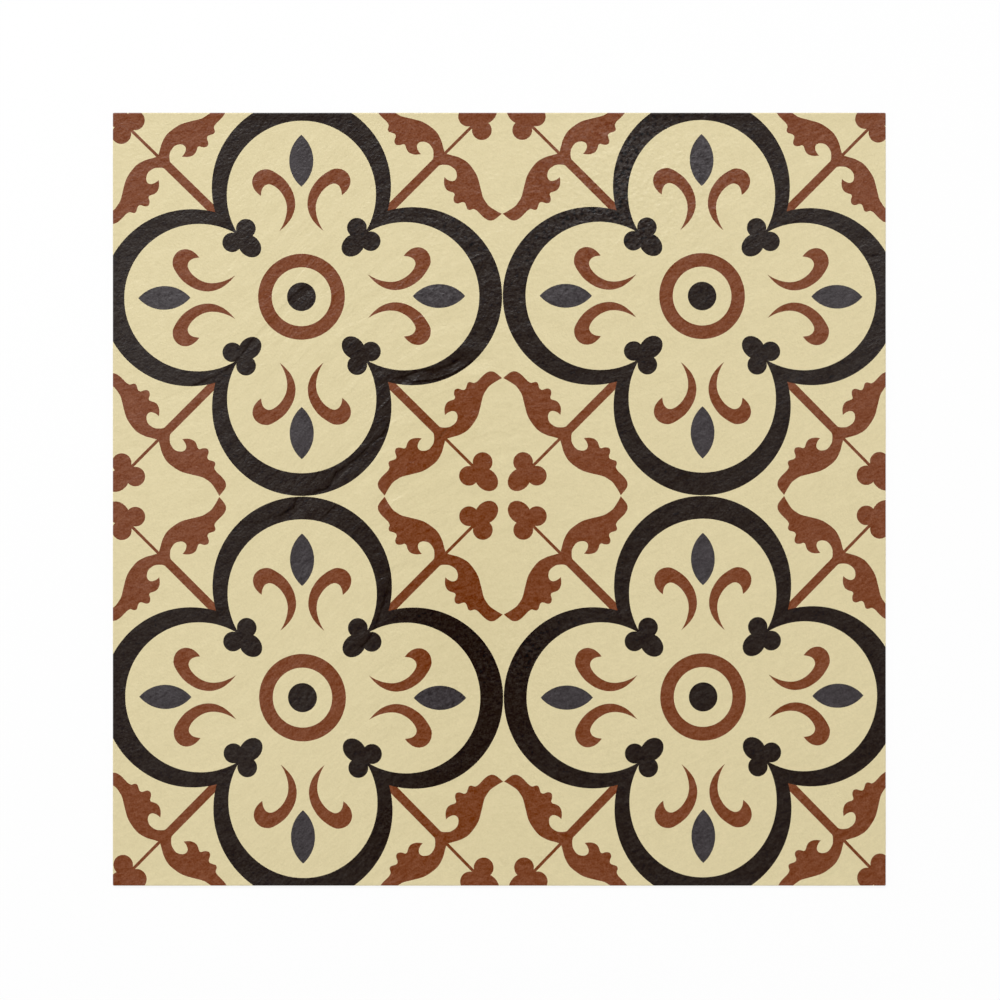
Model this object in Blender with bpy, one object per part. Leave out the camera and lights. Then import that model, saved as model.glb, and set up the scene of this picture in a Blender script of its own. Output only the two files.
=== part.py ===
"""A 12 inch vinyl floor tile, punched from printed and embossed sheet.

The tile is one piece of stock. A sheet of filled vinyl has the print and a
clear wear film pressed onto its face while it is hot, and a steel die then
punches the square out of it. The die enters at the printed face, so that edge
is drawn down into a small round, while the edge at the back is left crisp with
a narrow break. The corners are the die's own, nearly sharp in plan.

The tile lies on its back. The origin is at the middle of the back, +Z points
out of the printed face, and the sides run along X and Y.
"""

import math

import bmesh
import bpy

# Driving sizes in metres
TILE_WIDTH = 0.3048
TILE_DEPTH = 0.3048
TILE_THICKNESS = 0.0015
DIE_CORNER_RADIUS = 0.0005
FACE_EDGE_ROUND = 0.0003
BACK_EDGE_BREAK = 0.0001

# How finely the curved stretches are divided
CORNER_STEPS = 6
EDGE_ROUND_STEPS = 6
SAME_POINT = 1e-6
SHARP_ANGLE = math.radians(30.0)

# Finish of the printed face, in the cream that is the ground of the print
FACE_COLOUR = (0.716, 0.624, 0.376, 1.0)
FACE_ROUGHNESS = 0.42


def clear_scene():
    """Start from an empty scene, so that the tile is its only object."""
    for old in list(bpy.data.objects):
        bpy.data.objects.remove(old, do_unlink=True)


def die_outline(draw_in):
    """The punched outline, moved in by draw_in from the cut sides.

    Each corner is a quarter circle about the centre that the die gives it, so
    its radius shrinks as the outline moves in. Where the radius has run out,
    the corner is a plain mitre.
    """
    radius = max(DIE_CORNER_RADIUS - draw_in, 0.0)
    centre_x = TILE_WIDTH / 2 - draw_in - radius
    centre_y = TILE_DEPTH / 2 - draw_in - radius
    quarters = [(1, 1), (-1, 1), (-1, -1), (1, -1)]
    points = []
    for quarter, (side_x, side_y) in enumerate(quarters):
        for step in range(CORNER_STEPS + 1):
            turn = math.radians(90.0 * (quarter + step / CORNER_STEPS))
            points.append((side_x * centre_x + radius * math.cos(turn),
                           side_y * centre_y + radius * math.sin(turn)))
    return points


def edge_section():
    """Height and draw-in of each level of the cut edge, from back to face."""
    levels = [(0.0, BACK_EDGE_BREAK), (BACK_EDGE_BREAK, 0.0)]
    shoulder = TILE_THICKNESS - FACE_EDGE_ROUND
    for step in range(EDGE_ROUND_STEPS + 1):
        turn = math.radians(90.0 * step / EDGE_ROUND_STEPS)
        levels.append((shoulder + FACE_EDGE_ROUND * math.sin(turn),
                       FACE_EDGE_ROUND * (1.0 - math.cos(turn))))
    return levels


def outline_loop(shape, height, draw_in):
    """One level of the tile as a closed loop of edges."""
    points = [shape.verts.new((x, y, height)) for x, y in die_outline(draw_in)]
    return [shape.edges.new((points[index - 1], points[index]))
            for index in range(len(points))]


def vinyl_material():
    """Satin printed vinyl: no metal, and a little gloss from the wear film."""
    material = bpy.data.materials.new("printed_vinyl")
    material.use_nodes = True
    shader = material.node_tree.nodes["Principled BSDF"]
    shader.inputs["Base Color"].default_value = FACE_COLOUR
    shader.inputs["Roughness"].default_value = FACE_ROUGHNESS
    shader.inputs["Metallic"].default_value = 0.0
    material.diffuse_color = FACE_COLOUR
    return material


def punch_tile(name):
    """Loft the die's outline through every level of the cut edge."""
    shape = bmesh.new()
    loops = [outline_loop(shape, height, draw_in) for height, draw_in in edge_section()]
    for lower, upper in zip(loops, loops[1:]):
        bmesh.ops.bridge_loops(shape, edges=lower + upper)
    for rim in (loops[0], loops[-1]):
        bmesh.ops.edgeloop_fill(shape, edges=rim)
    bmesh.ops.remove_doubles(shape, verts=shape.verts, dist=SAME_POINT)
    bmesh.ops.recalc_face_normals(shape, faces=shape.faces)

    mesh = bpy.data.meshes.new(name)
    shape.to_mesh(mesh)
    shape.free()
    mesh.shade_smooth()
    mesh.set_sharp_from_angle(angle=SHARP_ANGLE)
    mesh.materials.append(vinyl_material())

    tile = bpy.data.objects.new(name, mesh)
    bpy.context.scene.collection.objects.link(tile)
    return tile


clear_scene()
punch_tile("vinyl_tile")
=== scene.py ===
import math
from bisect import bisect

import bpy
from mathutils import Matrix, Vector, kdtree, noise
from mathutils.geometry import delaunay_2d_cdt


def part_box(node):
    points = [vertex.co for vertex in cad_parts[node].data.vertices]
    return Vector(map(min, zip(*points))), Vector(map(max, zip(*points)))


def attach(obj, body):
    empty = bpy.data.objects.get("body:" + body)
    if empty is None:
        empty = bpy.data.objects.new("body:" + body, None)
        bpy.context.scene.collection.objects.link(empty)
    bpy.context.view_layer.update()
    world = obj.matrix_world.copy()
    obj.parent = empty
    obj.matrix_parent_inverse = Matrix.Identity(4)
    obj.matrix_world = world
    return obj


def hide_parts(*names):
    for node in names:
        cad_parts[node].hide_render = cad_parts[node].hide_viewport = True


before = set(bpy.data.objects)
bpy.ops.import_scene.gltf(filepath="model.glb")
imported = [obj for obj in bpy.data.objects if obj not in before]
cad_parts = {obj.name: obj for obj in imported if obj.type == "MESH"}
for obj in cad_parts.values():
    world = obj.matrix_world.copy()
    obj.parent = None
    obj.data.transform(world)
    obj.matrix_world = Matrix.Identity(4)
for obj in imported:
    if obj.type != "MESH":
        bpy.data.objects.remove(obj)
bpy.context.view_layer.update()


# The print, a traditional quatrefoil ornament in four inks
# A rotary press lays it on the film that is fused to the vinyl, so the inks have no thickness. The film was
# stretched and turned a little when the sheet was pressed, and the die cut it off register.

MM = 0.001
REPEAT = 158.35 * MM                        # from one quatrefoil to the next
OFF_REGISTER = Vector((1.44, 1.28)) * MM
PRESS_DRIFT = Vector((-0.040, -0.055))      # stretch along X and Y, growing with each metre
EDGE_DRAW = Vector((0.28, -0.14))           # how much the film drew in toward its own edges
CORNER_DRAW = Vector((0.07, 0.41))          # and toward its corners
PRESS_TURN = (math.radians(0.10), math.radians(0.145))    # of the print's rows, and of its columns

CREAM, BLACK, RUST, SLATE = range(4)

# Sizes from a quatrefoil's centre, in millimetres
LOBE_OUTER_AT, LOBE_OUTER_RADIUS = 43.7, 35.35
LOBE_INNER_AT, LOBE_INNER_RADIUS = 40.65, 29.4
DOT_RADIUS = 5.7
RING_OUTER_RADIUS, RING_INNER_RADIUS = 17.1, 11.7
LENS_FROM, LENS_TO, LENS_HALF_WIDTH = 43.8, 64.5, 4.75
TREFOIL_LONG_LOBE = (5.1, 4.05)             # half length and half width
TREFOIL_SIDE_LOBE_AT, TREFOIL_SIDE_RADIUS = (6.9, 1.5), 3.9
TREFOIL_CORE_AT, TREFOIL_CORE_RADIUS = 3.3, 2.4
BLACK_TREFOIL_AT, RUST_TREFOIL_AT = 20.4, 72.7
STEM_FROM, STEM_TO, STEM_WIDTH = 31.0, 56.0, 3.5
THREAD_FROM, THREAD_TO, THREAD_WIDTH = 55.5, 68.5, 1.2

# Stretches of each outline, smooth inside and with a corner where two meet, in millimetres from the
# quatrefoil's centre. They are drawn once, in the half quarter below the diagonal.
PETAL = [
    [(40.3, 16.0), (41.5, 17.4), (43.4, 18.8), (45.8, 19.4), (48.0, 18.9), (49.8, 17.4), (50.8, 15.0),
     (50.5, 12.0), (47.4, 7.3), (43.4, 4.2), (39.5, 2.7), (35.5, 2.5), (31.6, 3.8), (28.5, 6.1),
     (26.1, 8.7)],
    [(26.1, 8.7), (28.6, 7.3), (31.6, 6.2), (35.0, 5.7), (38.3, 6.2), (41.5, 7.9), (43.8, 10.2),
     (44.9, 12.6), (44.3, 14.5), (42.6, 15.6), (40.3, 16.0)],
]
LEAF = [
    [(56.4, 56.7), (59.3, 55.9), (62.0, 55.1), (65.2, 53.3), (67.7, 50.4), (69.4, 47.4), (70.5, 43.5),
     (71.5, 39.5), (72.6, 37.5), (74.1, 35.6), (77.1, 33.6), (79.0, 32.6)],
    [(79.0, 32.6), (77.1, 31.0), (75.7, 30.1), (74.4, 29.9), (73.1, 30.3), (71.7, 31.3), (70.3, 32.7),
     (69.1, 33.9), (67.9, 34.5), (67.1, 34.3), (66.2, 34.1), (65.4, 34.5), (65.0, 35.6), (64.6, 36.7),
     (64.0, 37.2), (63.2, 37.2), (62.4, 36.9), (61.4, 36.7), (60.4, 37.1), (60.0, 38.1), (60.1, 39.3),
     (60.4, 40.2), (60.1, 40.9), (59.4, 41.2), (58.2, 41.6), (57.1, 42.4), (56.4, 43.8), (56.2, 45.4),
     (56.4, 47.2)],
    [(56.4, 47.2), (57.3, 46.4), (58.5, 45.8), (59.6, 45.6), (60.7, 46.1), (61.3, 47.4), (61.1, 49.2),
     (60.4, 50.4), (59.4, 51.2), (58.1, 51.9), (56.5, 52.1), (54.9, 52.0), (53.7, 51.4), (52.5, 50.2),
     (51.0, 48.6)],
    [(51.0, 48.6), (48.8, 50.2)],
    [(48.8, 50.2), (56.4, 56.7)],
]
OUTLINE_STEP = 0.45                         # millimetres between points of an outline


def smooth_stretch(points):
    """Points along a Catmull-Rom curve through the given ones, without its last point."""
    knots = [Vector(p) for p in points]
    knots = [2 * knots[0] - knots[1]] + knots + [2 * knots[-1] - knots[-2]]
    out = []
    for a, b, c, d in zip(knots, knots[1:], knots[2:], knots[3:]):
        steps = max(1, round((c - b).length / OUTLINE_STEP))
        for i in range(steps):
            t = i / steps
            out.append(0.5 * (2 * b + (c - a) * t + (2 * a - 5 * b + 4 * c - d) * t * t
                              + (3 * b - a - 3 * c + d) * t ** 3))
    return out


def drawn(stretches):
    return [p for stretch in stretches for p in smooth_stretch(stretch)]


def round_stretch(centre, radius, start=0.0, end=360.0):
    """Points along a circle between two angles in degrees, finer on a small one, without its last point."""
    steps = max(4, round(math.radians(end - start) * math.sqrt(radius * 3) / OUTLINE_STEP))
    turns = [math.radians(start + (end - start) * i / steps) for i in range(steps)]
    return [Vector((centre[0] + radius * math.cos(t), centre[1] + radius * math.sin(t))) for t in turns]


def turned(outline, quarter, flip=False):
    """An outline turned by quarters of a circle, after it is mirrored in the diagonal if asked."""
    points = [p.yx if flip else p for p in outline]
    return [Matrix.Rotation(math.radians(90 * quarter), 2) @ p for p in points]


def quatrefoil(at, radius):
    """Four round lobes about the centre, each ending where it meets its neighbour on the diagonal."""
    cusp = (at + math.sqrt(2 * radius ** 2 - at ** 2)) / 2
    half_turn = math.degrees(math.atan2(cusp, cusp - at))
    lobe = round_stretch((at, 0), radius, -half_turn, half_turn)
    return [p for quarter in range(4) for p in turned(lobe, quarter)]


def lens():
    """Two arcs between the ends of the slate leaf."""
    half = (LENS_TO - LENS_FROM) / 2
    radius = (half ** 2 + LENS_HALF_WIDTH ** 2) / (2 * LENS_HALF_WIDTH)
    reach = math.degrees(math.asin(half / radius))
    middle = (LENS_FROM + LENS_TO) / 2
    return (round_stretch((middle, radius - LENS_HALF_WIDTH), radius, 270 - reach, 270 + reach)
            + round_stretch((middle, LENS_HALF_WIDTH - radius), radius, 90 - reach, 90 + reach))


def trefoil(at, way):
    """Three lobes on the diagonal and the core between them. The long lobe points away from way."""
    middle = Vector((at, at))
    diagonal = Matrix.Rotation(math.radians(45), 2)
    long_lobe = [middle + diagonal @ Vector((p.x * TREFOIL_LONG_LOBE[0], p.y * TREFOIL_LONG_LOBE[1]))
                 for p in round_stretch((0, 0), 1.0)]
    side = Vector(TREFOIL_SIDE_LOBE_AT) * way
    core = Vector((TREFOIL_CORE_AT, TREFOIL_CORE_AT)) * way
    return [long_lobe,
            round_stretch(middle + side, TREFOIL_SIDE_RADIUS),
            round_stretch(middle + side.yx, TREFOIL_SIDE_RADIUS),
            round_stretch(middle + core, TREFOIL_CORE_RADIUS)]


def diagonal_bar(start, end, width):
    """A straight bar along the diagonal, with points along it for the emboss to bend."""
    across = Vector((1, -1)) * width / math.sqrt(8)
    ends = Vector((start, start)), Vector((end, end))
    steps = round(2 * (end - start))
    there = [ends[0].lerp(ends[1], i / steps) + across for i in range(steps + 1)]
    back = [ends[1].lerp(ends[0], i / steps) - across for i in range(steps + 1)]
    return there + back


def ornament():
    """Each outline of one repeat with its ink, later ones printed over earlier ones.

    The repeat is mirrored in its rows, its columns and its diagonals.
    """
    stem = diagonal_bar(STEM_FROM, STEM_TO, STEM_WIDTH)
    outlines = [(RUST, turned(stem, quarter)) for quarter in range(4)]
    outlines += [(BLACK, quatrefoil(LOBE_OUTER_AT, LOBE_OUTER_RADIUS)),
                 (CREAM, quatrefoil(LOBE_INNER_AT, LOBE_INNER_RADIUS)),
                 (RUST, round_stretch((0, 0), RING_OUTER_RADIUS)),
                 (CREAM, round_stretch((0, 0), RING_INNER_RADIUS)),
                 (BLACK, round_stretch((0, 0), DOT_RADIUS))]
    for quarter in range(4):
        once = [(SLATE, lens()),
                (RUST, diagonal_bar(THREAD_FROM, THREAD_TO, THREAD_WIDTH))]
        once += [(BLACK, lobe) for lobe in trefoil(BLACK_TREFOIL_AT, 1)]
        once += [(RUST, lobe) for lobe in trefoil(RUST_TREFOIL_AT, -1)]
        outlines += [(ink, turned(outline, quarter)) for ink, outline in once]
        for flip in (False, True):
            outlines += [(RUST, turned(drawn(motif), quarter, flip)) for motif in (PETAL, LEAF)]
    return outlines


def on_tile(point):
    """Where a point of the print lands on the pressed and cut sheet."""
    x, y = point
    along = 1 + PRESS_DRIFT.x * x - EDGE_DRAW.x * x * x - CORNER_DRAW.x * y * y
    up = 1 + PRESS_DRIFT.y * y - EDGE_DRAW.y * y * y - CORNER_DRAW.y * x * x
    turned_point = Vector((x * along - y * math.sin(PRESS_TURN[1]), y * up + x * math.sin(PRESS_TURN[0])))
    return OFF_REGISTER + turned_point


# The sheet, one punched square of filled vinyl under the printed film
# It is pressed hot against a steel roll cut like split slate, and punched from the printed face. The face's
# mesh follows the ink outlines and the clefts over a fine grid, and the sides and the back are extruded.

low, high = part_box("vinyl_tile")
HALF = (high - low).xy / 2 - Vector((0.001, 0.001)) * MM    # a hair inside the solid
TOP = high.z
CORNER_RADIUS = 0.5 * MM
CORNER_STEPS = 4
EDGE_ROUND = 0.3 * MM
BACK_BREAK = 0.1 * MM
EDGE_LEVELS = 5
EDGE_STEP = 1.2 * MM
GRID = 1.25 * MM
CLEAR_OF_INK = 0.45 * MM
EMBOSS_FADE = 3.0 * MM                      # the die flattens the emboss this near the cut

# One line of the slate's grain as it crosses the tile, and how rough the split is in places: each patch
# with its middle, its half length and half height in millimetres and how much it adds
GRAIN_LINE = [(-156.0, 0.0), (-112.0, 12.0), (-90.0, 27.0), (-70.0, 46.0), (-50.0, 62.0), (-30.0, 74.0),
              (-10.0, 81.0), (10.0, 83.0), (35.0, 83.0), (60.0, 90.0), (90.0, 104.0), (156.0, 134.0)]
ROUGH_PATCHES = [((-27, 38), (42, 44), 0.8), ((-84, 82), (30, 30), 0.3), ((-52, -76), (28, 30), 0.5),
                 ((-30, -12), (24, 20), 0.5), ((-64, -132), (34, 20), 0.3)]
EVERYWHERE_ROUGH = 0.45
# The same for the patches where the film is scuffed in specks, and where the glints on these specks are
# painted into the inks as lighter blotches
SCUFF_AND_GLINT_PATCHES = [((50, 128), (34, 24), 1.1), ((84, 118), (24, 20), 0.5), ((0, 105), (60, 24), 0.4),
                   ((36, 82), (14, 12), 0.5), ((-25, 78), (14, 12), 0.5), ((-138, 80), (14, 14), 0.4),
                   ((-22, -77), (14, 10), 0.5), ((4, -60), (16, 14), 0.6)]
EVERYWHERE_SCUFFS_AND_GLINTS = 0.15
# And where the film came off the roll glossier, or below zero where it came off hazier
POLISHED_PATCHES = [((-9, -58), (29, 68), 1.2), ((-23, 8), (15, 37), 1.3), ((-9, -130), (40, 14), 1.0),
                    ((-150, 41), (55, 92), -0.7), ((150, 75), (59, 92), -0.55),
                    ((-103, -95), (43, 37), -0.4)]
MOST_POLISHED = 1.1
# And where it is clearest, where the inks are painted darker, with less of the painted sheen
LESS_SHEEN_PATCHES = [((-12, -52), (26, 26), 1.0)]
PLATE_LENGTH, PLATE_WIDTH, PLATE_DEPTH = 46 * MM, 13 * MM, 0.060 * MM
PLATE_FALL, PLATE_FINER, PLATE_SCALES = 0.9, 2.1, 2    # how finer plates weaken and shrink, and how many
RIPPLE_LENGTH, RIPPLE_WIDTH, RIPPLE_DEPTH = 12 * MM, 4.8 * MM, 0.220 * MM
EMBOSS_MIDDLE = 0.160 * MM

# Clefts where one plate ends over the next: how high the step is beside the highest, below zero where the
# step faces the other way, and the route it takes from the tile's middle in millimetres
CLEFTS = [
    (0.4, [(-109.0, -9.5), (-97.0, -9.5), (-88.0, -7.0)]),
    (1.0, [(-90.0, -8.0), (-86.5, -6.7), (-84.0, -5.2), (-81.0, -3.3), (-79.6, 0.2), (-76.1, 1.5),
           (-68.2, 4.1), (-65.8, 7.1), (-64.3, 10.0), (-59.9, 13.0), (-55.9, 16.4), (-53.9, 17.9),
           (-50.0, 22.4), (-45.6, 25.8), (-42.0, 33.0)]),
    (0.8, [(-72.5, -9.4), (-70.7, -8.2), (-68.2, -6.2), (-65.8, -3.8), (-61.0, -0.5)]),
    (0.8, [(-42.5, 47.0), (-38.2, 48.0), (-35.2, 49.2), (-30.3, 50.4), (-25.4, 50.9), (-20.4, 52.4),
           (-17.0, 54.4), (-13.0, 57.5)]),
    (1.0, [(-41.6, 48.0), (-33.2, 46.3), (-27.3, 46.5), (-21.4, 48.0), (-16.5, 50.0), (-11.6, 52.9),
           (-4.5, 57.0)]),
    (0.5, [(-31.0, 38.5), (-20.0, 42.5), (-11.0, 46.5)]),
    (0.7, [(-133.5, 38.5), (-111.0, 49.0), (-103.0, 55.0), (-97.0, 63.0), (-89.0, 71.0), (-81.0, 80.0),
           (-71.0, 88.0)]),
    (0.5, [(-103.0, 85.3), (-95.5, 90.4)]),
    (0.9, [(-58.0, -61.4), (-50.5, -54.0), (-45.0, -39.0), (-41.0, -25.0)]),
    (-0.5, [(-51.0, -53.0), (-36.0, -50.5), (-18.5, -47.5)]),
    (-0.7, [(-14.0, -60.5), (-6.0, -55.0)]),
    (0.8, [(-27.0, 20.5), (-21.5, 26.5), (-16.5, 32.5)]),
    (0.7, [(-80.0, -27.5), (-71.0, -21.5)]),
    (0.5, [(-136.0, -80.0), (-128.0, -75.0)]),
    (0.9, [(144.0, 96.0), (152.3, 96.0)]),
    (0.5, [(96.5, 58.0), (103.5, 61.0)]),
    (-0.6, [(73.0, 133.0), (79.0, 139.0)]),
    (0.3, [(20.0, -112.0), (48.0, -104.0), (74.0, -102.0)]),
]
CLEFT_DEPTH = 0.19 * MM
CLEFT_WALL, CLEFT_RISE = 0.9 * MM, 6.0 * MM    # the steep side of a step, and the slope back up to the face
CLEFT_RUN_OUT, CLEFT_END = 6 * MM, 0.1      # length over which a cleft fades out, and what its end keeps
CLEFT_ROWS = (-1.0, -0.65, -0.3, 0.0, 0.5, 1.6)    # where points are laid across a cleft, in walls
# The painted shade in a cleft: where across it the ink is darkened most, and how wide that is
CLEFT_DARKEST, CLEFT_DARK_REACH = -0.3, 0.7    # where across it the shade gathers, and how wide, in walls
CLEFT_WANDER, WANDER_EVERY = 0.5 * MM, 2.5 * MM
CLEFT_MEAN, CLEFT_CHANGE, CHANGE_EVERY = 0.8, 0.7, MM / 0.13    # a cleft's height changes along it
SAME_POINT = 1e-5 * MM


def die_outline(draw_in):
    """The punched square with round corners, moved in by draw_in, going round from the +X side."""
    radius = CORNER_RADIUS - draw_in
    reach = HALF - Vector((CORNER_RADIUS, CORNER_RADIUS))
    sides = round(2 * reach.x / EDGE_STEP)
    points = []
    for quarter in range(4):
        corner = [reach + radius * Vector((math.cos(t), math.sin(t)))
                  for t in (math.radians(90 * i / CORNER_STEPS) for i in range(CORNER_STEPS))]
        start, end = reach + Vector((0, radius)), Vector((-reach.x, reach.y + radius))
        side = [start.lerp(end, i / sides) for i in range(sides)]
        points += turned(corner + side, quarter)
    return points


def from_cut(point):
    """How far a point of the face lies inside the punched outline."""
    out = Vector((abs(point.x), abs(point.y))) - HALF + Vector((CORNER_RADIUS, CORNER_RADIUS))
    return CORNER_RADIUS - (out.length if min(out) > 0 else max(out))


def edge_drop(inside):
    """How far the rounded edge lies below the face."""
    short = min(max(0.0, EDGE_ROUND - inside), EDGE_ROUND)
    return EDGE_ROUND - math.sqrt(EDGE_ROUND ** 2 - short ** 2)


# The third number of a noise's place picks its pattern
def cleft_routes():
    """Each cleft as points a fraction of its width apart, wandering a little, with the strength at each."""
    routes = []
    for strength, stops in CLEFTS:
        route = [p * MM for p in smooth_stretch(stops)]
        wander = [CLEFT_WANDER * noise.noise((p.x / WANDER_EVERY, p.y / WANDER_EVERY, 7.0)) for p in route]
        changes = [CLEFT_CHANGE * noise.noise((p.x / CHANGE_EVERY, p.y / CHANGE_EVERY, 2.0)) for p in route]
        strengths = [strength * (CLEFT_MEAN + change) for change in changes]
        routes.append((strengths, [p + Vector((0, w)) for p, w in zip(route, wander)]))
    return routes


cleft_points = []
for cleft, (strengths, route) in enumerate(cleft_routes()):
    for i, (strength, p) in enumerate(zip(strengths, route)):
        ahead = (route[min(i + 1, len(route) - 1)] - route[max(i - 1, 0)]).normalized()
        below = Vector((ahead.y, -ahead.x)) * math.copysign(1.0, strength)
        to_end = min(i, len(route) - 1 - i) * OUTLINE_STEP * MM
        fade = min(1.0, to_end / CLEFT_RUN_OUT + CLEFT_END)
        cleft_points.append((cleft, p, below, abs(strength) * fade))
cleft_tree = kdtree.KDTree(len(cleft_points))
for i, (_, p, _, _) in enumerate(cleft_points):
    cleft_tree.insert((p.x, p.y, 0.0), i)
cleft_tree.balance()


def beside_clefts(point):
    """Depth below the face beside the clefts, steep on one side, and how far inside one a point is."""
    depth = inside = 0.0
    seen = set()
    near_points = cleft_tree.find_range((point.x, point.y, 0.0), CLEFT_RISE)
    for _, index, distance in sorted(near_points, key=lambda found: found[2]):
        cleft, start, below, strength = cleft_points[index]
        if cleft in seen:
            continue
        seen.add(cleft)
        off = (Vector((point.x, point.y)) - start).dot(below)
        past_end = math.sqrt(max(0.0, distance ** 2 - off ** 2))
        strength *= max(0.0, 1 - past_end / CLEFT_RISE)
        near = max(0.0, 1 + off / CLEFT_WALL) if off < 0 else max(0.0, 1 - off / CLEFT_RISE)
        near = near * near * (3 - 2 * near)
        depth = max(depth, CLEFT_DEPTH * strength * near)
        # How far inside the cleft the point is, which sets the painted shade of the inks there
        from_darkest = abs(off / CLEFT_WALL - CLEFT_DARKEST) / CLEFT_DARK_REACH
        inside = max(inside, strength * max(0.0, 1 - from_darkest))
    return depth, inside


grain_stops = [p * MM for p in smooth_stretch(GRAIN_LINE)]
grain_stop_x = [p.x for p in grain_stops]


def across_grain(point):
    """How far a point lies from one line of the grain, along Y."""
    after = bisect(grain_stop_x, point.x)
    a, b = grain_stops[after - 1], grain_stops[after]
    return point.y - a.y - (b.y - a.y) * (point.x - a.x) / (b.x - a.x)


def strength_at(point, everywhere, patches):
    """How strong a texture is at a point, from its patches."""
    strength = everywhere
    for (x, y), (half_length, half_height), more in patches:
        off = ((point.x / MM - x) / half_length) ** 2 + ((point.y / MM - y) / half_height) ** 2
        strength += more * math.exp(-off)
    return strength


def roughness_of_split(point):
    return strength_at(point, EVERYWHERE_ROUGH, ROUGH_PATCHES)


def emboss_depth(point, inside):
    """Depth of the slate emboss below the face, which the die has flattened near the cut."""
    across = across_grain(point)
    plate = noise.fractal((point.x / PLATE_LENGTH, across / PLATE_WIDTH, 1.0),
                          PLATE_FALL, PLATE_FINER, PLATE_SCALES)
    ripple = noise.noise((point.x / RIPPLE_LENGTH, across / RIPPLE_WIDTH, 5.0))
    depth = EMBOSS_MIDDLE + PLATE_DEPTH * plate + RIPPLE_DEPTH * roughness_of_split(point) * ripple
    depth += beside_clefts(point)[0]
    return max(0.0, depth) * min(1.0, max(0.0, inside - EDGE_ROUND) / EMBOSS_FADE)


# Four repeats, without the outlines that lie wholly past the cut
outlines = []
for column in (-0.5, 0.5):
    for row in (-0.5, 0.5):
        centre = Vector((column, row)) * REPEAT
        for ink, outline in ornament():
            points = [on_tile(centre + p * MM) for p in outline]
            if max(from_cut(p) for p in points) > 0:
                outlines.append((ink, points))

# The face, with every ink outline, edge level and cleft imprinted, and a grid over what they leave free
points, edges, faces = [], [], []


def add_ring(outline):
    first = len(points)
    points.extend(outline)
    return list(range(first, len(points)))


faces.append(add_ring(die_outline(0.0)))
for ink, outline in outlines:
    ring = add_ring(outline)
    area = sum(a.x * b.y - b.x * a.y for a, b in zip(outline, outline[1:] + outline[:1]))
    faces.append(ring if area > 0 else ring[::-1])
for level in range(1, EDGE_LEVELS + 1):
    ring = add_ring(die_outline(EDGE_ROUND * (1 - math.cos(math.radians(90 * level / EDGE_LEVELS)))))
    edges.extend(zip(ring, ring[1:] + ring[:1]))
for offset in CLEFT_ROWS:
    points += [p + below * offset * CLEFT_WALL for _, p, below, _ in cleft_points[::2]]

taken = kdtree.KDTree(len(points))
for i, p in enumerate(points):
    taken.insert((p.x, p.y, 0.0), i)
taken.balance()
reach = HALF.x - EDGE_ROUND - CLEAR_OF_INK
rows = round(2 * reach / GRID)
for i in range(rows + 1):
    for j in range(rows + 1):
        p = Vector((-reach + 2 * reach * i / rows, -reach + 2 * reach * j / rows))
        if taken.find((p.x, p.y, 0.0))[2] > CLEAR_OF_INK:
            points.append(p)

verts, _, triangles, _, _, owners = delaunay_2d_cdt(points, edges, faces, 0, SAME_POINT, True)
ink_of_outline = [CREAM] + [ink for ink, _ in outlines]
skin = [(triangle, ink_of_outline[max(owner)]) for triangle, owner in zip(triangles, owners) if 0 in owner]
depths = []
for p in verts:
    inside = from_cut(p)
    depths.append(edge_drop(inside) + (emboss_depth(p, inside) if inside > EDGE_ROUND else 0.0))
face_mesh = bpy.data.meshes.new("embossed_tile")
face_mesh.from_pydata([(p.x, p.y, TOP - d) for p, d in zip(verts, depths)], [], [t for t, _ in skin])
face_mesh.polygons.foreach_set("material_index", [ink for _, ink in skin])
tile = bpy.data.objects.new("embossed_tile", face_mesh)
bpy.context.scene.collection.objects.link(tile)

CUT_SIDE, BACK = 4, 5                       # the materials after the four inks
bpy.ops.object.select_all(action="DESELECT")
bpy.context.view_layer.objects.active = tile
tile.select_set(True)
bpy.ops.object.mode_set(mode="EDIT")
bpy.ops.mesh.select_all(action="SELECT")
bpy.ops.mesh.delete_loose()
bpy.ops.mesh.select_all(action="SELECT")
bpy.ops.mesh.region_to_loop()
bpy.ops.mesh.extrude_region_move(
    TRANSFORM_OT_translate={"value": (0, 0, low.z + BACK_BREAK - (TOP - EDGE_ROUND))})
bpy.ops.mesh.extrude_region_move(TRANSFORM_OT_translate={"value": (0, 0, -BACK_BREAK)})
shrink = (HALF.x - BACK_BREAK) / HALF.x
bpy.ops.transform.resize(value=(shrink, shrink, 1), center_override=(0, 0, 0))
bpy.ops.mesh.edge_face_add()
bpy.ops.mesh.select_all(action="SELECT")
bpy.ops.mesh.normals_make_consistent(inside=False)
bpy.ops.object.mode_set(mode="OBJECT")

for polygon in tile.data.polygons:
    if polygon.normal.z < -0.9:
        polygon.material_index = BACK
    elif polygon.normal.z < 0.1:
        polygon.material_index = CUT_SIDE
bpy.ops.object.shade_smooth_by_angle(angle=math.radians(35))

# The sheet unwrapped: the printed face fills most of the map, the back and the four sides its margins
FACE_SPAN, MARGIN = 0.87, 0.012
BACK_SPAN, SIDE_SPAN = 0.075, 0.008
unwrap = tile.data.uv_layers.new(name="OFBake")
for polygon in tile.data.polygons:
    for loop in polygon.loop_indices:
        place = tile.data.vertices[tile.data.loops[loop].vertex_index].co
        x = MARGIN + FACE_SPAN * (place.x / HALF.x + 1) / 2
        y = MARGIN + FACE_SPAN * (place.y / HALF.y + 1) / 2
        if polygon.material_index == BACK:
            x = 1 - MARGIN - BACK_SPAN * (place.x / HALF.x + 1) / 2
        elif polygon.material_index == CUT_SIDE:
            facing = polygon.normal
            if abs(facing.x) > abs(facing.y):
                side = 0 if facing.x > 0 else 1
                x = y
            else:
                side = 2 if facing.y > 0 else 3
            y = 2 * MARGIN + FACE_SPAN + side * (SIDE_SPAN + MARGIN) + SIDE_SPAN * place.z / TOP
        unwrap.data[loop].uv = (x, y)

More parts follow.
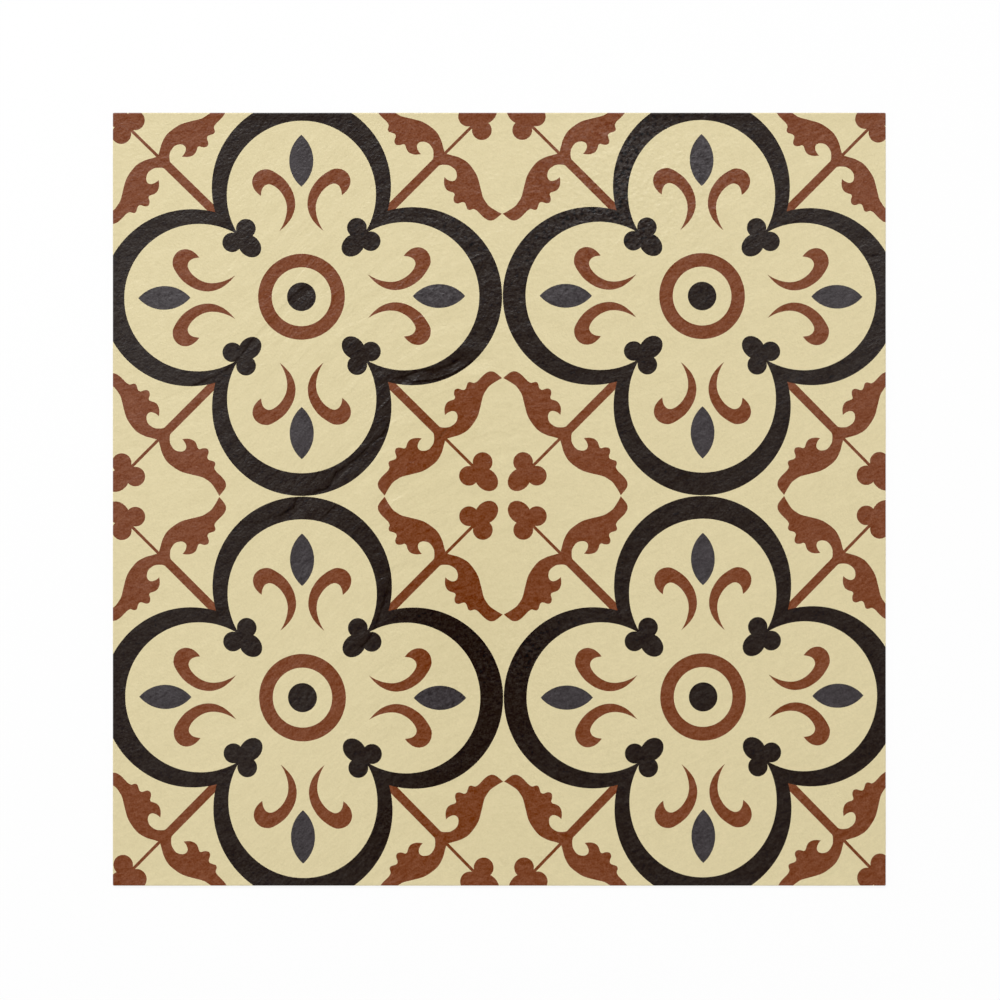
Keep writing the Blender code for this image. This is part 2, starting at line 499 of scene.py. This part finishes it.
tile.data.attributes.new("slate", "FLOAT_VECTOR", "POINT")
for name in ("scuffs_and_glints", "polished", "less_sheen", "in_cleft"):
    tile.data.attributes.new(name, "FLOAT", "POINT")
slate, scuffs_and_glints, polished, less_sheen, in_cleft = (
    tile.data.attributes[name].data for name in ("slate", "scuffs_and_glints", "polished", "less_sheen", "in_cleft"))
for i, vertex in enumerate(tile.data.vertices):
    place = vertex.co
    slate[i].vector = (place.x, across_grain(place), roughness_of_split(place))
    scuffs_and_glints[i].value = strength_at(place, EVERYWHERE_SCUFFS_AND_GLINTS, SCUFF_AND_GLINT_PATCHES)
    polished[i].value = min(MOST_POLISHED, strength_at(place, 0.0, POLISHED_PATCHES))
    less_sheen[i].value = strength_at(place, 0.0, LESS_SHEEN_PATCHES)
    in_cleft[i].value = beside_clefts(place)[1]


# The face, satin film over four inks
# The film copies the steel's slate texture down to its finest grain, and each ink lies a little uneven
# under it.
# The film's sheen, its glints and the shade in the clefts are painted into the inks' colour too. The groups
# below are shared by the inks, each with its own amounts.

def new_group(name, inputs, outputs):
    """An empty node group with its sockets, each given as a name and a kind."""
    tree = bpy.data.node_groups.new(name, "ShaderNodeTree")
    for socket, kind in inputs:
        tree.interface.new_socket(socket, in_out="INPUT", socket_type="NodeSocket" + kind)
    for socket, kind in outputs:
        tree.interface.new_socket(socket, in_out="OUTPUT", socket_type="NodeSocket" + kind)
    return tree, tree.nodes.new("NodeGroupInput").outputs, tree.nodes.new("NodeGroupOutput").inputs


def add_node(tree, kind, inputs, **settings):
    """A node with its settings and its inputs, each a value or the socket that feeds it."""
    node = tree.nodes.new(kind)
    for name, value in settings.items():
        setattr(node, name, value)
    for name, value in inputs.items():
        if isinstance(value, bpy.types.NodeSocket):
            tree.links.new(value, node.inputs[name])
        else:
            node.inputs[name].default_value = value
    return node.outputs


def calculate(tree, operation, a, b):
    """A Math node on two inputs, each a value or the socket that feeds it."""
    return add_node(tree, "ShaderNodeMath", {0: a, 1: b}, operation=operation)[0]


def slate_noise(tree, length, width, seed, detail, distortion):
    """Noise from 0 to 1 drawn out along the slate's grain."""
    grain_place = add_node(tree, "ShaderNodeAttribute", {}, attribute_name="slate")["Vector"]
    scaled = add_node(tree, "ShaderNodeVectorMath", {0: grain_place, 1: (1 / length, 1 / width, 0)},
                      operation="MULTIPLY")[0]
    moved = add_node(tree, "ShaderNodeVectorMath", {0: scaled, 1: (0, 0, seed)}, operation="ADD")[0]
    inputs = {"Vector": moved, "Scale": 1.0, "Detail": detail, "Distortion": distortion}
    return add_node(tree, "ShaderNodeTexNoise", inputs)["Fac"]


def grain_noise(tree, size, seed, detail):
    """Noise without a direction, from 0 to 1."""
    place = add_node(tree, "ShaderNodeTexCoord", {})["Object"]
    moved = add_node(tree, "ShaderNodeVectorMath", {0: place, 1: (seed, seed, 0)}, operation="ADD")[0]
    inputs = {"Vector": moved, "Scale": 1 / size, "Detail": detail}
    return add_node(tree, "ShaderNodeTexNoise", inputs)["Fac"]


film_emboss, given, put_out = new_group(
    "film_emboss", [("Streak Depth", "Float"), ("Scuff Depth", "Float"), ("Grain Depth", "Float")],
    [("Height", "Float")])
slate_here = add_node(film_emboss, "ShaderNodeAttribute", {}, attribute_name="slate")["Vector"]
rough_here = add_node(film_emboss, "ShaderNodeSeparateXYZ", {0: slate_here})["Z"]
streaks = slate_noise(film_emboss, 6.5 * MM, 3.6 * MM, seed=3.0, detail=1.2, distortion=0.9)
streak_height = calculate(film_emboss, "MULTIPLY", streaks, given["Streak Depth"])
streak_height = calculate(film_emboss, "MULTIPLY", streak_height, rough_here)
grain = grain_noise(film_emboss, 0.9 * MM, seed=0.3, detail=1.5)
grain_height = calculate(film_emboss, "MULTIPLY", grain, given["Grain Depth"])
scuffs_and_glints_here = add_node(film_emboss, "ShaderNodeAttribute", {}, attribute_name="scuffs_and_glints")["Fac"]
scuffs = grain_noise(film_emboss, 1.9 * MM, seed=0.8, detail=1.5)
scuff_height = calculate(film_emboss, "MULTIPLY", scuffs, given["Scuff Depth"])
scuff_height = calculate(film_emboss, "MULTIPLY", scuff_height, scuffs_and_glints_here)
both = calculate(film_emboss, "ADD", streak_height, scuff_height)
film_emboss.links.new(calculate(film_emboss, "ADD", both, grain_height), put_out["Height"])

ink_lay, given, put_out = new_group(
    "ink_lay", [("Ink", "Color"), ("Haze", "Color"), ("Unevenness", "Float"), ("Scuff Glints", "Float"),
                ("Cloudiness", "Float"), ("Sheen Taken Off", "Float"), ("Cleft Shade", "Float")],
    [("Color", "Color")])
drag = slate_noise(ink_lay, 2.8 * MM, 1.6 * MM, seed=11.0, detail=2.5, distortion=0.5)
speck = grain_noise(ink_lay, 0.7 * MM, seed=0.7, detail=2.0)
cloud = grain_noise(ink_lay, 9 * MM, seed=0.5, detail=2.0)
both = calculate(ink_lay, "ADD", drag, speck)
uneven = calculate(ink_lay, "SUBTRACT", both, 1.0)
uneven = calculate(ink_lay, "MULTIPLY", uneven, given["Unevenness"])
scuffs_and_glints_here = add_node(ink_lay, "ShaderNodeAttribute", {}, attribute_name="scuffs_and_glints")["Fac"]
# Painted highlights: in the scuffed patches, lighter blotches stand in for the lamp's glints on the scuffed
# film
painted_glints = grain_noise(ink_lay, 1.5 * MM, seed=0.1, detail=1.0)
painted_glints = calculate(ink_lay, "SUBTRACT", painted_glints, 0.5)
painted_glints = calculate(ink_lay, "MULTIPLY", painted_glints, scuffs_and_glints_here)
painted_glints = calculate(ink_lay, "MULTIPLY", painted_glints, given["Scuff Glints"])
uneven = calculate(ink_lay, "ADD", uneven, painted_glints)
cloudy = calculate(ink_lay, "SUBTRACT", cloud, 0.5)
cloudy = calculate(ink_lay, "MULTIPLY", cloudy, given["Cloudiness"])
uneven = calculate(ink_lay, "ADD", uneven, cloudy)
# Where the film is clearest some of the painted sheen is taken off, so the inks are painted darker there
less_sheen_here = add_node(ink_lay, "ShaderNodeAttribute", {}, attribute_name="less_sheen")["Fac"]
sheen_off = calculate(ink_lay, "MULTIPLY", less_sheen_here, given["Sheen Taken Off"])
uneven = calculate(ink_lay, "SUBTRACT", uneven, sheen_off)
# The mottle is laid on in the haze colour, paler and greyer than the ink like the film's sheen: real
# mottle, partly painted as sheen
haze = add_node(ink_lay, "ShaderNodeVectorMath", {0: given["Haze"], "Scale": uneven}, operation="SCALE")[0]
laid = add_node(ink_lay, "ShaderNodeVectorMath", {0: given["Ink"], 1: haze}, operation="ADD")[0]
blackest = (0.001, 0.001, 0.001)
laid = add_node(ink_lay, "ShaderNodeVectorMath", {0: laid, 1: blackest}, operation="MAXIMUM")[0]
# Painted shade: the ink is darkened inside the clefts, where the steep wall would lie in shade
cleft_here = add_node(ink_lay, "ShaderNodeAttribute", {}, attribute_name="in_cleft")["Fac"]
shade = calculate(ink_lay, "MULTIPLY", cleft_here, given["Cleft Shade"])
shade = calculate(ink_lay, "SUBTRACT", 1.0, shade)
laid = add_node(ink_lay, "ShaderNodeVectorMath", {0: laid, "Scale": shade}, operation="SCALE")[0]
ink_lay.links.new(laid, put_out["Color"])

film_satin, given, put_out = new_group(
    "film_satin", [("Roughness", "Float"), ("Wear", "Float"), ("Scuff Haze", "Float"), ("Polish", "Float"),
                   ("Cleft Shine", "Float")], [("Roughness", "Float")])
rub = grain_noise(film_satin, 14 * MM, seed=0.9, detail=3.0)
rub = calculate(film_satin, "SUBTRACT", rub, 0.5)
rub = calculate(film_satin, "MULTIPLY", rub, given["Wear"])
cleft_here = add_node(film_satin, "ShaderNodeAttribute", {}, attribute_name="in_cleft")["Fac"]
polished_here = add_node(film_satin, "ShaderNodeAttribute", {}, attribute_name="polished")["Fac"]
cleft_shine = calculate(film_satin, "MULTIPLY", cleft_here, given["Cleft Shine"])
polish = calculate(film_satin, "MULTIPLY", polished_here, given["Polish"])
shine = calculate(film_satin, "ADD", cleft_shine, polish)
scuffs_and_glints_here = add_node(film_satin, "ShaderNodeAttribute", {}, attribute_name="scuffs_and_glints")["Fac"]
scuffs = grain_noise(film_satin, 1.7 * MM, seed=0.6, detail=2.0)
scuffs = add_node(film_satin, "ShaderNodeMapRange", {"Value": scuffs, "From Min": 0.48, "From Max": 0.68},
                  interpolation_type="SMOOTHSTEP")["Result"]
haze = calculate(film_satin, "MULTIPLY", scuffs, scuffs_and_glints_here)
haze = calculate(film_satin, "MULTIPLY", haze, given["Scuff Haze"])
satin = calculate(film_satin, "ADD", given["Roughness"], rub)
satin = calculate(film_satin, "ADD", satin, haze)
satin = calculate(film_satin, "SUBTRACT", satin, shine)
film_satin.links.new(satin, put_out["Roughness"])


def place_group(material, tree, values):
    """One use of a shared group in a material, with the values given by name."""
    node = material.node_tree.nodes.new("ShaderNodeGroup")
    node.node_tree = tree
    for name, value in values.items():
        node.inputs[name].default_value = value
    return node.outputs[0]


# Each ink with its colour, the paler and greyer haze colour its mottle is laid in (real mottle partly
# painted as sheen), its unevenness, its painted glints in the scuffed patches and its cloudiness, how much
# painted sheen the clear patches take off, and the painted shade in the clefts
INKS = [
    ("cream_ink", (0.704, 0.609, 0.361, 1), (0.66, 0.61, 0.45, 1), 0.14, 0.08, 0.05, 0.028, 0.03),
    ("black_ink", (0.0140, 0.0068, 0.0035, 1), (0.0088, 0.0077, 0.0070, 1), 4.10, 9.00, 0.60, 0.25, 0.45),
    ("rust_ink", (0.181, 0.0495, 0.0155, 1), (0.105, 0.061, 0.041, 1), 1.40, 1.00, 0.25, 0.20, 0.38),
    ("slate_ink", (0.0460, 0.0388, 0.0412, 1), (0.045, 0.041, 0.044, 1), 1.40, 2.00, 0.50, 0.25, 0.60),
]
for name, ink, haze, unevenness, scuff_glints, cloudiness, sheen_taken_off, cleft_shade in INKS:
    material = bpy.data.materials.new(name)
    material.use_nodes = True
    links, film = material.node_tree.links, material.node_tree.nodes["Principled BSDF"]
    colour = place_group(material, ink_lay, {"Ink": ink, "Haze": haze, "Unevenness": unevenness,
                                             "Scuff Glints": scuff_glints, "Cloudiness": cloudiness,
                                             "Sheen Taken Off": sheen_taken_off, "Cleft Shade": cleft_shade})
    satin = place_group(material, film_satin, {"Roughness": 0.33, "Wear": 0.08, "Scuff Haze": 0.18,
                                               "Polish": 0.13, "Cleft Shine": 0.12})
    height = place_group(material, film_emboss, {"Streak Depth": 0.19 * MM, "Scuff Depth": 0.20 * MM,
                                                 "Grain Depth": 0.12 * MM})
    bump = add_node(material.node_tree, "ShaderNodeBump", {"Height": height, "Distance": 1.0})["Normal"]
    links.new(colour, film.inputs["Base Color"])
    links.new(satin, film.inputs["Roughness"])
    links.new(bump, film.inputs["Normal"])
    tile.data.materials.append(material)


# The cut sides and the back, bare filled vinyl
# The sides show the chalk-filled body under the film with the die's fine drag marks, and the back is the
# same body with the weave of the calender's rubber blanket.

DRAG_FINENESS = (4000, 4000, 250)           # marks to the metre along the cut, and down it
drag_marks, given, put_out = new_group("drag_marks", [("Depth", "Float")], [("Height", "Float")])
place = add_node(drag_marks, "ShaderNodeTexCoord", {})["Object"]
drawn_down = add_node(drag_marks, "ShaderNodeVectorMath", {0: place, 1: DRAG_FINENESS},
                      operation="MULTIPLY")[0]
marks = add_node(drag_marks, "ShaderNodeTexNoise", {"Vector": drawn_down, "Scale": 1.0, "Detail": 3.0})
drag_marks.links.new(calculate(drag_marks, "MULTIPLY", marks["Fac"], given["Depth"]), put_out["Height"])

chalk_fill, given, put_out = new_group(
    "chalk_fill", [("Body", "Color"), ("Chalk", "Color"), ("Amount", "Float")], [("Color", "Color")])
flecks = grain_noise(chalk_fill, 0.35 * MM, seed=0.2, detail=3.0)
patches = grain_noise(chalk_fill, 12 * MM, seed=0.4, detail=2.0)
share = calculate(chalk_fill, "MULTIPLY", flecks, patches)
share = calculate(chalk_fill, "MULTIPLY", share, given["Amount"])
mixed = add_node(chalk_fill, "ShaderNodeMix", {0: share, 6: given["Body"], 7: given["Chalk"]},
                 data_type="RGBA", clamp_factor=True)[2]
chalk_fill.links.new(mixed, put_out["Color"])

# Each bare surface with its body and chalk colours, the amount of chalk, its roughness and its drag marks
BODY = [
    ("cut_side", (0.46, 0.43, 0.37, 1), (0.68, 0.66, 0.61, 1), 1.6, 0.55, 0.008 * MM),
    ("plain_back", (0.40, 0.385, 0.35, 1), (0.60, 0.585, 0.55, 1), 1.8, 0.6, 0.0),
]
for name, body, chalk, amount, roughness, drag_depth in BODY:
    material = bpy.data.materials.new(name)
    material.use_nodes = True
    tree, vinyl = material.node_tree, material.node_tree.nodes["Principled BSDF"]
    colour = place_group(material, chalk_fill, {"Body": body, "Chalk": chalk, "Amount": amount})
    tree.links.new(colour, vinyl.inputs["Base Color"])
    vinyl.inputs["Roughness"].default_value = roughness
    if drag_depth:
        height = place_group(material, drag_marks, {"Depth": drag_depth})
    else:
        place = add_node(tree, "ShaderNodeTexCoord", {})["Object"]
        threads = [add_node(tree, "ShaderNodeTexWave", {"Vector": place, "Scale": 260.0, "Distortion": 0.4},
                            bands_direction=way)["Fac"] for way in ("X", "Y")]
        weave = calculate(tree, "MULTIPLY", threads[0], threads[1])
        height = calculate(tree, "MULTIPLY", weave, 0.02 * MM)
    bump = add_node(tree, "ShaderNodeBump", {"Height": height, "Distance": 1.0})["Normal"]
    tree.links.new(bump, vinyl.inputs["Normal"])
    tile.data.materials.append(material)
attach(tile, "root")
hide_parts("vinyl_tile")


# The studio, a white table under four lamps
# The table is a matt white sheet that keeps the tile's shadow. One broad lamp stands past the tile's far
# edge and three weak ones at the other sides, and the camera looks straight down.

FLOOR_SIZE = 12.0
WHITE_SHARE = 0.88                          # how much of the table's white doesn't depend on the lamps
bpy.ops.object.select_all(action="DESELECT")
bpy.ops.mesh.primitive_plane_add(size=FLOOR_SIZE, location=(0, 0, low.z))
floor = bpy.context.object
floor.name = "floor"
bpy.ops.object.transform_apply(location=True, rotation=True, scale=True)
floor_material = bpy.data.materials.new("floor")
floor_material.use_nodes = True
nodes, links = floor_material.node_tree.nodes, floor_material.node_tree.links
paper = nodes["Principled BSDF"]
paper.inputs["Base Color"].default_value = (0.9, 0.9, 0.9, 1)
paper.inputs["Roughness"].default_value = 0.9
glow = nodes.new("ShaderNodeEmission")
seen = nodes.new("ShaderNodeLightPath")
either = nodes.new("ShaderNodeMath")
either.operation = "MAXIMUM"
any_ray = nodes.new("ShaderNodeMath")
any_ray.operation = "MAXIMUM"
share = nodes.new("ShaderNodeMath")
share.operation = "MULTIPLY"
share.inputs[1].default_value = WHITE_SHARE
mix = nodes.new("ShaderNodeMixShader")
links.new(seen.outputs["Is Camera Ray"], either.inputs[0])
links.new(seen.outputs["Is Glossy Ray"], either.inputs[1])
links.new(either.outputs[0], any_ray.inputs[0])
links.new(seen.outputs["Is Transmission Ray"], any_ray.inputs[1])
links.new(any_ray.outputs[0], share.inputs[0])
links.new(share.outputs[0], mix.inputs["Fac"])
links.new(paper.outputs[0], mix.inputs[1])
links.new(glow.outputs[0], mix.inputs[2])
links.new(mix.outputs[0], nodes["Material Output"].inputs["Surface"])
floor.data.materials.append(floor_material)

# The room is pale near the floor and dim overhead
world = bpy.data.worlds.new("studio")
world.use_nodes = True
nodes, links = world.node_tree.nodes, world.node_tree.links
place = nodes.new("ShaderNodeTexCoord")
split = nodes.new("ShaderNodeSeparateXYZ")
fade = nodes.new("ShaderNodeMapRange")
fade.interpolation_type = "SMOOTHSTEP"
fade.inputs["From Min"].default_value = 0.12
fade.inputs["From Max"].default_value = 0.75
fade.inputs["To Min"].default_value = 0.6
fade.inputs["To Max"].default_value = 0.02
links.new(place.outputs["Generated"], split.inputs[0])
links.new(split.outputs["Z"], fade.inputs["Value"])
links.new(fade.outputs["Result"], nodes["Background"].inputs["Color"])
bpy.context.scene.world = world

# Each lamp with its place, its size and its share of the light on the tile
LAMPS = [
    ("far_lamp", (-0.45, 1.92, 2.52), (2.2, 1.2), 0.67),
    ("left_lamp", (-1.6, 0.0, 1.1), (1.0, 1.0), 0.13),
    ("right_lamp", (1.7, 0.0, 1.1), (1.0, 1.0), 0.10),
    ("near_lamp", (0.0, -1.8, 1.2), (1.4, 0.8), 0.09),
]
for name, place, size, share_of_light in LAMPS:
    place = Vector(place)
    lamp = bpy.data.lights.new(name, "AREA")
    lamp.shape = "RECTANGLE"
    lamp.size, lamp.size_y = size
    # An area lamp of power P throws P cos / (pi d^2) on the tile, seen square to its own face
    lamp.energy = share_of_light * math.pi * math.pi * place.length_squared / (place.z / place.length)
    lamp_object = bpy.data.objects.new(name, lamp)
    lamp_object.location = place
    lamp_object.rotation_euler = (-place).to_track_quat("-Z", "Y").to_euler()
    bpy.context.scene.collection.objects.link(lamp_object)

CAMERA_HEIGHT = 2.0
PICTURE_PIXELS = 1000
TILE_PIXELS = 773.0                         # the tile's side in the picture, and its middle
TILE_MIDDLE_PIXEL = Vector((499.3, 499.2))
camera_data = bpy.data.cameras.new("camera")
metres_per_pixel = 2 * HALF.x / TILE_PIXELS
camera_data.lens = camera_data.sensor_width * (CAMERA_HEIGHT - TOP) / (PICTURE_PIXELS * metres_per_pixel)
camera = bpy.data.objects.new("camera", camera_data)
camera.location = ((PICTURE_PIXELS / 2 - TILE_MIDDLE_PIXEL.x) * metres_per_pixel,
                   (TILE_MIDDLE_PIXEL.y - PICTURE_PIXELS / 2) * metres_per_pixel, CAMERA_HEIGHT)
bpy.context.scene.collection.objects.link(camera)
bpy.context.scene.camera = camera
bpy.context.scene.view_settings.view_transform = "Standard"
